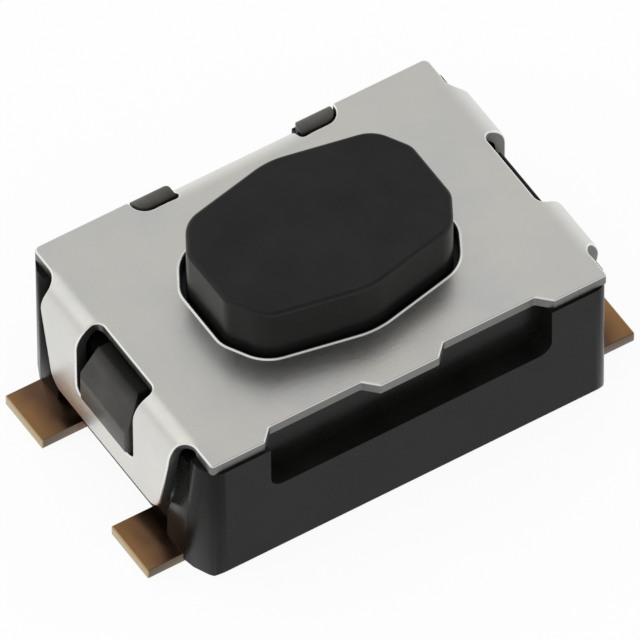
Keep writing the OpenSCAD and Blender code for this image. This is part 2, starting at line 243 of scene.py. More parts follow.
class Wire:
    """A node's output that takes part in Python sums: each sum adds the Math node that it names."""

    def __init__(self, tree, socket):
        self.tree = tree
        self.socket = socket

    def _sum(self, operation, first, second):
        node = self.tree.nodes.new("ShaderNodeMath")
        node.operation = operation
        for socket, term in zip(node.inputs, (first, second)):
            feed(self.tree, socket, term)
        return Wire(self.tree, node.outputs[0])

    def __add__(self, other):
        return self._sum("ADD", self, other)

    def __radd__(self, other):
        return self._sum("ADD", other, self)

    def __sub__(self, other):
        return self._sum("SUBTRACT", self, other)

    def __rsub__(self, other):
        return self._sum("SUBTRACT", other, self)

    def __mul__(self, other):
        return self._sum("MULTIPLY", self, other)

    def __rmul__(self, other):
        return self._sum("MULTIPLY", other, self)

    def at_least(self, other):
        return self._sum("MAXIMUM", self, other)


def feed(tree, socket, term):
    """Links a wire to a socket, or sets a plain value on it."""
    if isinstance(term, Wire):
        tree.links.new(term.socket, socket)
    else:
        socket.default_value = term


class Nodes:
    """Adds nodes to one tree, each from its type, its settings and what its sockets get."""

    def __init__(self, tree):
        self.tree = tree
        tree.nodes.clear()

    def add(self, kind, settings=None, inputs=None, output=0):
        node = self.tree.nodes.new(kind)
        for key, value in (settings or {}).items():
            setattr(node, key, value)
        for key, term in (inputs or {}).items():
            feed(self.tree, node.inputs[key], term)
        return Wire(self.tree, node.outputs[output]) if node.outputs else None

    def place(self):
        """The surface point in millimetres, from Object coordinates."""
        place = self.add("ShaderNodeTexCoord", output="Object")
        return self.add("ShaderNodeVectorMath", {"operation": "SCALE"}, {0: place, "Scale": 1 / MM})

    def away(self, place):
        """How far a point is from the middle of the switch, as x, y and z."""
        away = self.add("ShaderNodeVectorMath", {"operation": "ABSOLUTE"}, {0: place}, "Vector")
        return [self.add("ShaderNodeSeparateXYZ", None, {"Vector": away}, axis) for axis in "XYZ"]

    def mark(self, name):
        """A number that the mesh carries at its points, and 0 on a mesh that has none."""
        return self.add("ShaderNodeAttribute", {"attribute_name": name}, None, "Fac")

    def noise(self, place, scale, detail=2.0, roughness=0.5, stretch=None):
        """Noise between 0 and 1, with `scale` grains to a millimetre.

        It is drawn out along an axis whose stretch is below 1.
        """
        if stretch:
            inputs = {0: place, 1: stretch}
            place = self.add("ShaderNodeVectorMath", {"operation": "MULTIPLY"}, inputs)
        inputs = {"Vector": place, "Scale": scale, "Detail": detail, "Roughness": roughness}
        return self.add("ShaderNodeTexNoise", None, inputs, "Fac")

    def spread(self, factor, low, high):
        """The factor's range from low to high stretched to 0 to 1, and held there."""
        inputs = {"Value": factor, "From Min": low, "From Max": high}
        return self.add("ShaderNodeMapRange", None, inputs)

    def mix(self, factor, first, second):
        """Two colours mixed by a factor. Sockets go by number, as each name stands for several."""
        inputs = {0: factor, 6: rgba(first), 7: rgba(second)}
        return self.add("ShaderNodeMix", {"data_type": "RGBA"}, inputs, 2)

    def bump(self, height, depth_um):
        """A bump whose full height is depth_um thousandths of a millimetre."""
        inputs = {"Height": height, "Distance": depth_um * MM * MM, "Strength": 1.0}
        return self.add("ShaderNodeBump", None, inputs, "Normal")

    def surface(self, inputs):
        """The surface shader, joined to the material's output."""
        self.out(self.add("ShaderNodeBsdfPrincipled", None, inputs))

    def out(self, shader, kind="ShaderNodeOutputMaterial"):
        """Ends the tree in its output node."""
        self.add(kind, None, {"Surface": shader})


def rgba(value):
    """A plain colour with its alpha; a wire is left as it is."""
    return value if isinstance(value, Wire) else (*value[:3], 1.0)


def toned(tone, *shares):
    """A colour with its channels multiplied by one share, or by three."""
    return [c * f for c, f in zip(tone, shares * 3 if len(shares) == 1 else shares)]


def new_material(name):
    material = bpy.data.materials.new(name)
    material.use_nodes = True
    return material, Nodes(material.node_tree)


# Finishes

# Shares of a finish's own tone
STEEL_WARM, STEEL_COOL = (1.05, 1.03, 0.99), (0.95, 0.96, 0.98)
# The cut walls' dull share, and the rubbed edges' brighter share, which is a painted highlight
STEEL_CUT, STEEL_RUBBED_HIGHLIGHT = 0.28, 1.30
# Resin: lighter and darker random tone, and the paler bosses and post tops, which are painted light
RESIN_LIGHT, RESIN_DARK, BOSS_PAINTED_LIGHT, POST_PAINTED_LIGHT = 1.25, 0.78, 11.0, 26.0
# Where a part of a finish fades in, in millimetres from the middle of the switch
BOSS_X, BOSS_Y, BOSS_Z = (1.93, 1.99), (0.44, 0.40), (0.60, 0.70)
POST_Y, POST_Z = (1.20, 1.36), (1.36, 1.40)
# Where the sides' painted shade begins, the body's painted shade fades out, and the ends' painted
# highlight begins
ROOT_X, SHADE_FADE_X, END_X = (2.0, 2.02), (2.11, 2.29), (2.335, 2.349)
TERMINAL_Y, TERMINAL_SIDE = 0.815, (0.270, 0.281)
# The floor's white, and the share of it that no shadow takes
FLOOR_WHITE, FLOOR_UNSHADED = 1.02, 0.90


def steel_finish(name, tone, roughness):
    """Satin rolled sheet: a fine even grain, slightly drawn out along the roll, and faint patches.

    The mesh may mark its cut walls, which are dull, and its rubbed edges, which get a painted
    highlight.
    """
    material, nodes = new_material(name)
    place = nodes.place()
    patches = nodes.noise(place, 1.6, detail=3.0, roughness=0.6)
    grain = nodes.noise(place, 42.0, roughness=0.55, stretch=(0.35, 1.0, 1.0))
    fine = nodes.noise(place, 24.0)
    cut, rubbed_highlight = nodes.mark("cut"), nodes.mark("rubbed_highlight")
    warm, cool = toned(tone, *STEEL_WARM), toned(tone, *STEEL_COOL)
    skin = nodes.mix(nodes.spread(patches, 0.32, 0.68), warm, cool)
    # Painted highlight: the rubbed edges and the bead get a brighter colour
    skin = nodes.mix(rubbed_highlight, skin, toned(tone, STEEL_RUBBED_HIGHLIGHT))
    uneven = roughness + (fine - 0.5) * 0.10 + (patches - 0.5) * 0.08
    nodes.surface(
        {
            "Base Color": nodes.mix(cut, skin, toned(tone, STEEL_CUT)),
            "Metallic": 1.0,
            "Roughness": uneven + cut * 0.15 - rubbed_highlight * 0.10,
            "Normal": nodes.bump(grain, 0.5),
        }
    )
    return material


def resin_finish(name, tone, roughness, grain_um, specular, painted_light=False):
    """Moulded resin: a spark-eroded grain in its skin, and slightly uneven gloss and tone.

    Where asked, the latch bosses at the two ends and the posts' tops are painted paler: painted
    light that stands for the reflections they catch.
    """
    material, nodes = new_material(name)
    place = nodes.place()
    cloud = nodes.noise(place, 2.5, detail=3.0, roughness=0.55)
    grain = nodes.noise(place, 30.0, detail=3.0, roughness=0.6)
    darker, lighter = toned(tone, RESIN_DARK), toned(tone, RESIN_LIGHT)
    skin = nodes.mix(nodes.spread(cloud, 0.3, 0.7), darker, lighter)
    # Painted light: the bosses and the posts' tops are painted paler, as if lit by their
    # reflections
    if painted_light:
        x, y, z = nodes.away(place)
        boss_light_mask = nodes.spread(x, *BOSS_X) * nodes.spread(y, *BOSS_Y) * nodes.spread(z, *BOSS_Z)
        post_light_mask = nodes.spread(z, *POST_Z) * nodes.spread(y, *POST_Y)
        uneven = 0.75 + (cloud - 0.5) * 1.2
        skin = nodes.mix(boss_light_mask * uneven, skin, toned(tone, BOSS_PAINTED_LIGHT))
        skin = nodes.mix(post_light_mask * uneven, skin, toned(tone, POST_PAINTED_LIGHT))
    nodes.surface(
        {
            "Base Color": skin,
            "Roughness": roughness + (cloud - 0.5) * 0.14 + (grain - 0.5) * 0.10,
            "Specular IOR Level": specular,
            "Normal": nodes.bump(grain, grain_um),
        }
    )
    return material


def plating_finish(name, tones):
    """Plated terminal: golden outward, browner toward the body as painted shade, with scratches.

    Its end face is bare metal, painted brighter as a painted highlight, and its sheared sides are
    dull metal, painted darker as painted shade.
    """
    material, nodes = new_material(name)
    place = nodes.place()
    patches = nodes.noise(place, 2.2)
    lines = nodes.noise(place, 40.0, roughness=0.6, stretch=(0.15, 1.0, 1.0))
    x, y, _ = nodes.away(place)
    off = (y - TERMINAL_Y).at_least(TERMINAL_Y - y)
    # Painted shade on the sheared sides outside the body
    side = nodes.spread(off, *TERMINAL_SIDE) * nodes.spread(x, *ROOT_X)
    # Painted shade: the plating darkens toward the body
    out_of_shade = nodes.spread(x + (patches - 0.5) * 0.25, *SHADE_FADE_X)
    skin = nodes.mix(side, nodes.mix(out_of_shade, tones.shaded_plating, tones.plating), tones.sheared_and_shaded)
    nodes.surface(
        {
            # Painted highlight: the bare end faces are painted bright
            "Base Color": nodes.mix(nodes.spread(x, *END_X), skin, tones.ends),
            "Metallic": 1.0,
            "Roughness": 0.16 + patches * 0.16,
            "Normal": nodes.bump(lines, 0.5),
        }
    )
    return material


def floor_finish(name, tone):
    """Pale floor.

    What looks straight at it, or mirrors it, sees white, less the share that the shadow takes.
    """
    material, nodes = new_material(name)
    matt = nodes.add("ShaderNodeBsdfDiffuse", None, {"Color": rgba(tone)})
    white = nodes.add("ShaderNodeEmission", None, {"Color": WHITE, "Strength": FLOOR_WHITE})
    seen = FLOOR_UNSHADED * seen_or_mirrored(nodes)
    nodes.out(nodes.add("ShaderNodeMixShader", None, {0: seen, 1: matt, 2: white}))
    return material


def seen_or_mirrored(nodes):
    """1 for rays from the camera and for mirrored and refracted rays, and 0 for the rest."""
    camera, glossy, refracted = (
        nodes.add("ShaderNodeLightPath", output=f"Is {kind} Ray")
        for kind in ("Camera", "Glossy", "Transmission")
    )
    return camera.at_least(glossy).at_least(refracted)


# Shapes

# In millimetres: points that are one, points merged in a copy, an outline's longest edge, and
# a filled face's free rim
SAME_POINT, MERGED, LONGEST, FREE_RIM = 1e-6, 2e-4, 0.03, 0.022
# Angles between the faces of a flat edge, and of a sharp one
FLAT, SHARP = math.radians(0.6), math.radians(32)


def unit(v):
    return v / np.linalg.norm(v, axis=-1, keepdims=True)


def outline(corners, steps=8):
    """A closed outline from corners (x, y, radius), as its points and its right-hand normals.

    With n0 and n1 the normals of a corner's two edges, the arc's middle is the corner less
    radius * (n0 + n1) / (1 + n0.n1), and the arc's points are the middle plus radius times a normal
    that turns evenly from n0 to n1. The radius counts as negative where the outline turns right.
    Straight edges are then cut into pieces no longer than LONGEST.
    """
    data = np.asarray(corners, float)
    p, radius = data[:, :2], data[:, 2]
    ahead = unit(np.roll(p, -1, 0) - p)
    behind = np.roll(ahead, 1, 0)
    cross = behind[:, 0] * ahead[:, 1] - behind[:, 1] * ahead[:, 0]
    turn = np.arctan2(cross, (behind * ahead).sum(1))
    signed = radius * np.sign(turn)
    n0 = np.stack([behind[:, 1], -behind[:, 0]], 1)
    n1 = np.stack([ahead[:, 1], -ahead[:, 0]], 1)
    middle = p - signed[:, None] * (n0 + n1) / (1 + (n0 * n1).sum(1))[:, None]
    a = turn[:, None] * np.linspace(0, 1, steps + 1)[None, :]
    cos, sin = np.cos(a), np.sin(a)
    normal = np.stack([cos * n0[:, :1] - sin * n0[:, 1:], sin * n0[:, :1] + cos * n0[:, 1:]], -1)
    point = middle[:, None, :] + signed[:, None, None] * normal
    point, normal = point.reshape(-1, 2), normal.reshape(-1, 2)
    apart = np.linalg.norm(np.roll(point, -1, 0) - point, axis=1) > SAME_POINT
    point, normal = point[apart], normal[apart]
    gap = np.linalg.norm(np.roll(point, -1, 0) - point, axis=1)
    parts = np.maximum(np.ceil(gap / LONGEST).astype(int), 1)
    start = np.repeat(np.arange(len(point)), parts)
    way = np.arange(len(start)) - np.repeat(np.cumsum(parts) - parts, parts)
    way = (way / parts[start])[:, None]
    after = (start + 1) % len(point)
    between = normal[start] * (1 - way) + normal[after] * way
    return point[start] * (1 - way) + point[after] * way, unit(between)


def mirrored(half):
    """The corners of one half of an outline, followed by their mirror image across the Y axis."""
    return half + [(-x, y, r) for x, y, r in reversed(half)]


def quarter_round(radius, steps, middle, turn):
    """Points and normals of a quarter circle in the plane of a profile (out, up).

    The quarter begins at the angle turn * 90 degrees from the outward direction and runs on by
    90 degrees.
    """
    a = (turn + np.linspace(0, 1, steps + 1)) * QUARTER
    normal = np.stack([np.cos(a), np.sin(a)], 1)
    return np.asarray(middle) + radius * normal, normal


def ring_faces(rings, around):
    """Quads between neighbouring rings of `around` points each."""
    i = np.arange(around)
    j = (i + 1) % around
    base = np.arange(rings - 1)[:, None] * around
    return np.stack([base + i, base + j, base + around + j, base + around + i], -1).reshape(-1, 4)


def fan_faces(ring, centre, flip):
    """Triangles from a ring's points to one centre."""
    after = np.roll(ring, -1)
    faces = np.stack([ring, after, np.full_like(ring, centre)], 1)
    return faces[:, ::-1] if flip else faces


def lathe(rings, normals):
    """A closed piece from rings of points, bottom to top, each a closed loop that runs left.

    Both ends are shut by a fan to their own middle.
    """
    count, around = rings.shape[:2]
    points = np.concatenate([rings.reshape(-1, 3), rings[:1].mean(1), rings[-1:].mean(1)])
    turned = np.concatenate([normals.reshape(-1, 3), [[0, 0, -1.0]], [[0, 0, 1.0]]])
    first, last = np.arange(around), (count - 1) * around + np.arange(around)
    low_end = fan_faces(first, count * around, True)
    high_end = fan_faces(last, count * around + 1, False)
    triangles = np.concatenate([low_end, high_end])
    return points, ring_faces(count, around).tolist() + triangles.tolist(), turned


def inside(points, loops):
    """True for each point that lies inside an odd number of the closed loops."""
    hits = np.zeros(len(points), int)
    for loop in loops:
        x0, y0 = loop[:, 0], loop[:, 1]
        x1, y1 = np.roll(x0, -1), np.roll(y0, -1)
        x, y = points[:, :1], points[:, 1:]
        spans = (y0 > y) != (y1 > y)
        with np.errstate(divide="ignore", invalid="ignore"):
            cross = x0 + (y - y0) * (x1 - x0) / (y1 - y0)
        hits += (spans & (x < cross)).sum(1)
    return hits % 2 == 1


def filled(loops, across, down):
    """A flat region between closed loops, filled with triangles.

    Their corners are the loops' points, which come first, and the grid points of across and down
    that lie in the region and keep clear of its edge.
    """
    edge = np.concatenate(loops)
    grid = np.stack(np.meshgrid(across, down), -1).reshape(-1, 2)
    grid = grid[inside(grid, loops)]
    near = np.linalg.norm(grid[:, None] - edge[None], axis=2).min(1)
    points = np.concatenate([edge, grid[near > FREE_RIM]])
    starts = np.cumsum([0] + [len(loop) for loop in loops])
    edges = [
        (a, b)
        for first, stop in zip(starts[:-1], starts[1:])
        for a, b in zip(range(first, stop), [*range(first + 1, stop), first])
    ]
    found = geometry.delaunay_2d_cdt([Vector(p) for p in points], edges, [], 0, SAME_POINT / 10)
    out = np.array([tuple(v) for v in found[0]])
    faces = np.array(found[2])
    faces = faces[inside(out[faces].mean(1), loops)]
    a, b, c = out[faces[:, 0]], out[faces[:, 1]], out[faces[:, 2]]
    area = (b[:, 0] - a[:, 0]) * (c[:, 1] - a[:, 1]) - (b[:, 1] - a[:, 1]) * (c[:, 0] - a[:, 0])
    faces[area < 0] = faces[area < 0][:, ::-1]
    if len(out) != len(points):
        raise RuntimeError("the sheet's outline touches itself")
    return points, faces


def make_piece(name, shape, material, body, slot, *nodes):
    """A mesh from a shape, which is its points in millimetres, its faces and its normals.

    It rides on its body in place of its CAD nodes.
    """
    points, faces, normals = shape
    mesh = bpy.data.meshes.new(name)
    mesh.from_pydata((np.asarray(points) * MM).tolist(), [], faces)
    mesh.polygons.foreach_set("use_smooth", np.ones(len(mesh.polygons), bool))
    mesh.normals_split_custom_set_from_vertices(unit(np.asarray(normals, float)).tolist())
    if mesh.validate(clean_customdata=False):
        raise RuntimeError(f"{name} has faulty faces")
    return dress(bpy.data.objects.new(name, mesh), material, body, slot, *nodes)


def dress(piece, material, body, slot, *nodes):
    """Gives a piece its finish, and its place in the frame."""
    bpy.context.scene.collection.objects.link(piece)
    piece.data.materials.clear()
    piece.data.materials.append(material)
    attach(piece, body)
    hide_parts(*nodes)
    return piece


def softened_copy(name, node, radius, steps, material, body, slot, shaped=None, plain=None):
    """A CAD node's own mesh, with its doubles merged, its flat faces joined and its edges rounded.

    What `shaped` does to the joined mesh comes before the edges are rounded. An edge whose two ends
    are `plain` stays sharp.
    """
    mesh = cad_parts[node].data.copy()
    mesh.name = name
    form = bmesh.new()
    form.from_mesh(mesh)
    bmesh.ops.remove_doubles(form, verts=form.verts, dist=MERGED * MM)
    bmesh.ops.dissolve_limit(form, angle_limit=FLAT, verts=form.verts, edges=form.edges)
    if shaped:
        shaped(form)
    weight = form.edges.layers.float.new("bevel_weight_edge")
    for edge in form.edges:
        sharp = edge.is_manifold and edge.calc_face_angle() > SHARP
        edge[weight] = float(sharp and not (plain and all(plain(v.co / MM) for v in edge.verts)))
    for face in form.faces:
        face.smooth = True
    form.to_mesh(mesh)
    form.free()
    piece = bpy.data.objects.new(name, mesh)
    rounding = piece.modifiers.new("Edges", "BEVEL")
    rounding.width = radius * MM
    rounding.segments = steps
    rounding.limit_method = "WEIGHT"
    rounding.miter_outer = "MITER_ARC"
    shading = piece.modifiers.new("Flat faces stay flat", "WEIGHTED_NORMAL")
    shading.mode = "FACE_AREA"
    shading.weight = 100
    return dress(piece, material, body, slot, node)


# The cover's blank

# Where the bends begin and are full, in millimetres past the flaps' sides
END_FADE, FAR_FADE = (0.03, -0.06), (0.12, 0.01)


def blank_marks(s):
    """The bend lines and the flaps' lower edges in the flat blank."""
    quarter = s.bend * QUARTER
    bend_z = s.top - s.bend
    line = s.flap_span / 2 - s.bend
    far_line = s.base_width / 2 - s.bend
    return SimpleNamespace(
        line=line,
        far_line=far_line,
        leg=line + quarter,
        foot=line + quarter + bend_z - s.flap_foot,
        far_leg=far_line + quarter,
        far_foot=far_line + quarter + bend_z - s.far_flap_foot,
        window=line + quarter + bend_z - s.window_foot,
    )


def blank_outline(s, m):
    """The flat blank's outline.

    It runs by the near notches and their tab, lugs, end flaps, far notches and far flap.
    """
    lug, side = s.flat_length / 2, s.flat_width / 2
    tab, notch = s.near_tab / 2, s.near_notch_span / 2
    near_dent, far_dent = side - s.near_notch_in, side - s.far_notch_in
    flap, foot = s.flap_width / 2, s.flap_foot_width / 2
    far_flap = s.far_flap_width / 2
    far_notch = far_flap + s.far_notch
    c = s.corner
    taper = 0.5
    return mirrored(
        [
            (tab, -side, c),
            (tab + s.near_notch_slope, -near_dent, c),
            (notch - s.near_notch_slope, -near_dent, c),
            (notch, -side, c),
            (lug, -side, c),
            (lug, -flap, s.relief),
            (m.leg, -flap, taper),
            (m.foot, -foot, s.flap_round),
            (m.foot, foot, s.flap_round),
            (m.leg, flap, taper),
            (lug, flap, s.relief),
            (lug, side, s.far_corner),
            (far_notch, side, c),
            (far_notch, far_dent, s.notch_round),
            (far_flap, far_dent, c),
            (far_flap, m.far_foot, s.far_flap_round),
        ]
    )


def button_corners(b):
    """The button's outline: a long hexagon whose ends are cut flat, with every corner rounded."""
    tip, shoulder = b.tip_length / 2, b.tip_length / 2 - b.shoulder_in
    wide, end = b.shoulder_width / 2, b.end_width / 2
    half = [
        (shoulder, -wide, b.shoulder_round),
        (tip, -end, b.end_round),
        (tip, end, b.end_round),
        (shoulder, wide, b.shoulder_round),
    ]
    peak = b.width / 2
    other = mirrored(half)[len(half) :]
    return [(0.0, -peak, b.peak_round), *half, (0.0, peak, b.peak_round), *other]


def fade(value, start, stop):
    """0 before start, 1 past stop, and a smooth step between."""
    t = np.clip((value - start) / (stop - start), 0, 1)
    return t * t * (3 - 2 * t)


def fold(s, m, flat, depth, lean, rise):
    """The blank bent into the cover.

    A point has its place (u, v) in the sheet's upper face and its depth below it. Past a bend line
    the way on is wrapped on a circle of the bend's outer radius R: angle = way / R, up to a quarter
    turn, at the radius R less the depth, and what is left of the way runs straight down. The lugs
    beside a flap stay flat, and the bend fades out over the relief between them. The normal
    (lean in the face, rise out of it) turns by the same angle.
    """
    u, v = flat[:, 0], flat[:, 1]

    def wrapped(way):
        angle = np.clip(way / s.bend, 0, QUARTER)
        along = (s.bend - depth) * np.sin(angle) + np.minimum(way, 0)
        down = s.bend - (s.bend - depth) * np.cos(angle) + np.maximum(way - s.bend * QUARTER, 0)
        return angle, along, down

    reach = s.flap_width / 2 + s.relief
    ends = fade(np.abs(v) - reach, *END_FADE)
    far = fade(np.abs(u) - s.far_flap_width / 2, *FAR_FADE) * (v > 0)
    end_angle, end_along, end_down = wrapped(np.abs(u) - m.line)
    far_angle, far_along, far_down = wrapped(v - m.far_line)
    side = np.sign(u)
    x = side * (np.abs(u) * (1 - ends) + (m.line + end_along) * ends)
    y = v * (1 - far) + (m.far_line + far_along) * far
    down = depth + (end_down - depth) * ends + (far_down - depth) * far
    end_angle, far_angle = end_angle * ends, far_angle * far
    nx = lean[:, 0] * np.cos(end_angle) + side * rise * np.sin(end_angle)
    nz = -lean[:, 0] * side * np.sin(end_angle) + rise * np.cos(end_angle)
    ny = lean[:, 1] * np.cos(far_angle) + nz * np.sin(far_angle)
    nz = -lean[:, 1] * np.sin(far_angle) + nz * np.cos(far_angle)
    return np.stack([x, y, s.top - down], 1), np.stack([nx, ny, nz], 1)


def grid_lines(line, leg, stop, coarse=0.09, fine=0.028):
    """Grid lines' places from the middle outwards: coarse on the flats, fine across the bend."""
    half = np.concatenate(
        [
            np.arange(coarse / 2, line, coarse),
            np.linspace(line, leg, round((leg - line) / fine) + 1),
            np.arange(leg + coarse, stop, coarse),
        ]
    )
    return np.concatenate([-half[::-1], half])


def sheet_edge(s, rise):
    """A punched edge's profile: points (out, up), normals, and each point's cut mark and painted
    highlight.

    Where the edge has a bead, the way up to it is the smooth step rise * t^2 * (3 - 2 t). Then come
    the quarter round of the roll-over, the cut wall and the quarter round of the lower edge.
    """
    r, low = s.roll_over, s.burr_edge
    t = np.linspace(0, 1, 7)[:-1] if rise else np.zeros(0)
    slope = rise * 6 * t * (1 - t) / s.bead_foot
    ramp = np.stack([-r - s.bead_foot * (1 - t), rise * t * t * (3 - 2 * t)], 1)
    ramp_n = unit(np.stack([-slope, np.ones_like(t)], 1))
    over, over_n = quarter_round(r, 5, (-r, rise - r), 0)
    under, under_n = quarter_round(low, 2, (-low, low - s.sheet), -1)
    cut = np.concatenate([0 * t, [0, 0, 0, 0, 0.4, 1], [1, 1, 0.6]])
    # How strong each point's painted highlight is, on the bead and on the rubbed roll-over
    rubbed_highlight = np.concatenate(
        [0.6 * fade(t, 0, 0.4), [0.6 * (rise > 0), 0.8, 0.8, 0.8, 0.4, 0], [0, 0, 0]]
    )
    return (
        np.concatenate([ramp, over[::-1], under[::-1]]),
        np.concatenate([ramp_n, over_n[::-1], under_n[::-1]]),
        np.stack([cut, rubbed_highlight], 1),
    )


def cover_mesh(s, b):
    """The cover's points, faces, normals and edge marks.

    They are the blank's outline, hole and windows with an edge profile carried round each of them,
    and both faces filled between, all bent together. The hole is the button's outline moved out by
    the gap, and its profile has the bead.
    """
    m = blank_marks(s)
    half = s.window_width / 2
    r = s.window_round
    start = m.line + s.window_start
    window = [(start, half, r), (m.window, half, r), (m.window, -half, r), (start, -half, r)]
    loops = [
        outline(blank_outline(s, m)),
        outline(button_corners(b)[::-1]),
        outline(window),
        outline(mirrored(window)[len(window) :]),
    ]
    hole, hole_out = loops[1]
    loops[1] = (hole - b.hole_gap * hole_out, hole_out)
    edge = sheet_edge(s, 0.0)
    bead = sheet_edge(s, s.bead_rise)
    lines_x = grid_lines(m.line, m.leg, m.foot)
    lines_y = grid_lines(m.far_line, m.far_leg, m.far_foot)
    points, faces, normals, marks, offset = [], [], [], [], 0
    firsts, lasts = [], []
    for (loop, out), (profile, profile_n, mark) in zip(loops, (edge, bead, edge, edge)):
        around = len(loop)
        ring = loop[None] + profile[:, None, :1] * out[None]
        depth = np.repeat(-profile[:, 1], around)
        lean = (profile_n[:, None, :1] * out[None]).reshape(-1, 2)
        rise = np.repeat(profile_n[:, 1], around)
        bent, bent_n = fold(s, m, ring.reshape(-1, 2), depth, lean, rise)
        points.append(bent)
        normals.append(bent_n)
        marks.append(np.repeat(mark, around, 0))
        quads = ring_faces(len(profile), around)
        faces += (quads[:, ::-1] + offset).tolist()
        firsts.append((ring[0], offset))
        lasts.append((ring[-1], offset + (len(profile) - 1) * around))
        offset += len(bent)
    for rings, depth, sign in ((firsts, 0.0, 1.0), (lasts, s.sheet, -1.0)):
        flat, triangles = filled([ring for ring, _ in rings], lines_x, lines_y)
        bound = sum(len(ring) for ring, _ in rings)
        extra = flat[bound:]
        bent, bent_n = fold(
            s, m, extra, np.full(len(extra), depth), np.zeros_like(extra), np.full(len(extra), sign)
        )
        shared = [at + np.arange(len(ring)) for ring, at in rings]
        index = np.concatenate([*shared, offset + np.arange(len(extra))])
        points.append(bent)
        normals.append(bent_n)
        marks.append(np.zeros((len(extra), 2)))
        offset += len(bent)
        faces += index[triangles if sign > 0 else triangles[:, ::-1]].tolist()
    return np.concatenate(points), faces, np.concatenate(normals), np.concatenate(marks)


# Button and dome


def button_mesh(b, dome_crown):
    """The button: its outline carried up a profile of (growth, height), with a round nub below.

    A ring is the outline moved out by its growth. The nub's rings are circles with as many points,
    and the faces under the flange run from the circle to the outline. The top closes in on its
    middle. At an inner corner two rings lie a crease apart, so that it looks sharp.
    """
    shape, out = outline(button_corners(b), steps=10)
    turn = np.arctan2(shape[:, 1], shape[:, 0])
    circle = np.stack([np.cos(turn), np.sin(turn)], 1)
    foot = b.flange_top - b.flange
    nub, r = b.nub / 2, b.inner_round
    wide = b.hole_gap + b.flange_lap
    crease = 0.004
    rings, normals = [], []

    def loops(base, direction, profile, lean):
        for (grow, z), (across, up) in zip(profile, lean):
            ring = base + grow * direction
            rings.append(np.column_stack([ring, np.full(len(ring), z)]))
            normals.append(np.column_stack([across * direction, np.full(len(ring), up)]))

    low, low_n = quarter_round(r, 3, (nub - r, dome_crown + r), -1)
    loops(circle * 0, circle, [(nub * 0.5, dome_crown)], [(0, -1)])
    loops(circle * 0, circle, low, low_n)
    loops(circle * 0, circle, [(nub, foot), (nub + crease, foot)], [(1, 0), (0, -1)])
    under, under_n = quarter_round(r, 3, (wide - r, foot + r), -1)
    over, over_n = quarter_round(r, 3, (wide - r, b.flange_top - r), 0)
    edge, edge_n = quarter_round(b.edge, 6, (-b.edge, b.top - b.edge), 0)
    loops(shape, out, under, under_n)
    loops(shape, out, over, over_n)
    loops(shape, out, [(crease, b.flange_top), (0.0, b.flange_top + crease)], [(0, 1), (1, 0)])
    loops(shape, out, edge, edge_n)
    top = shape - b.edge * out
    for scale in (0.9, 0.6, 0.3):
        rings.append(np.column_stack([top * scale, np.full(len(top), b.top)]))
        normals.append(np.tile((0.0, 0.0, 1.0), (len(top), 1)))
    return lathe(np.array(rings), np.array(normals))


def dome_mesh(d, around=96, rings=20):
    """The snap dome: a shell between two spheres, from the middle below to the middle above.

    Both spheres stand on the axis. With R = (half diameter^2 + rise^2) / (2 rise), the outer
    height over the rim at a distance a from the axis is sqrt(R^2 - a^2) - (R - rise), and the
    inner sphere's radius is R less the thickness. The first ring lies at a small share of the
    half diameter.
    """
    half = d.diameter / 2
    radius = (half**2 + d.rise**2) / (2 * d.rise)
    centre = d.floor + d.rise - radius
    inner = radius - d.sheet
    inner_half = math.sqrt(inner**2 - (radius - d.rise) ** 2)
    turn = np.linspace(0, 2 * math.pi, around, endpoint=False)
    circle = np.stack([np.cos(turn), np.sin(turn)], 1)
    first = 0.04
    inside_a = np.linspace(first, 1, rings) * inner_half
    outside_a = np.linspace(1, first, rings) * half
    a = np.concatenate([inside_a, outside_a])
    below, above = np.sqrt(inner**2 - inside_a**2), np.sqrt(radius**2 - outside_a**2)
    z = np.maximum(np.concatenate([below, above]) + centre, d.floor)
    slope = np.concatenate([-inside_a / inner, outside_a / radius])
    inner_up = np.sqrt(1 - (inside_a / inner) ** 2)
    outer_up = np.sqrt(1 - (outside_a / radius) ** 2)
    up = np.concatenate([-inner_up, outer_up])

    def turned(across, height):
        flat = across[:, None, None] * circle
        height = np.broadcast_to(height[:, None, None], (*flat.shape[:2], 1))
        return np.concatenate([flat, height], -1)

    return lathe(turned(a, z), turned(slope, up))


# Base

# The angles in degrees at which a post's round is cut, and the share of its radius that is top
POST_CUTS, POST_TOP = (20, 38, 52, 64, 76), 0.1
# The seats' ends in millimetres: beyond x, between two y, above z
SEAT_X, SEAT_Y, SEAT_Z = 1.7, (0.85, 1.2), 0.3


def round_posts(form, radius):
    """Rounds the posts' far side.

    A point at a distance t into the rounding drops by r - sqrt(r^2 - t^2).
    """
    top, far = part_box("base_housing")[1].zy
    low = top - radius * POST_TOP
    for angle in POST_CUTS:
        cut = far - radius * (1 - math.sin(math.radians(angle)))
        near_top = [v for v in form.verts if v.co.z > low and v.co.y > far - 2 * radius]
        faces = {face for v in near_top for face in v.link_faces}
        edges = {edge for face in faces for edge in face.edges}
        bmesh.ops.bisect_plane(
            form,
            geom=[*faces, *edges],
            dist=SAME_POINT * MM,
            plane_co=(0, cut, 0),
            plane_no=(0, 1, 0),
        )
    for v in form.verts:
        into = min(max(v.co.y - far + radius, 0.0), radius)
        if v.co.z > low:
            v.co.z -= radius - math.sqrt(radius * radius - into * into)


def in_seat_end(p):
    """True in the ends of the flaps' seats, whose thin steps lie behind the flaps."""
    return abs(p.x) > SEAT_X and SEAT_Y[0] < abs(p.y) < SEAT_Y[1] and p.z > SEAT_Z


# Stage

# The sensor in millimetres, and half of the floor's side in metres
SENSOR_WIDTH, FLOOR_HALF = 36.0, 0.3
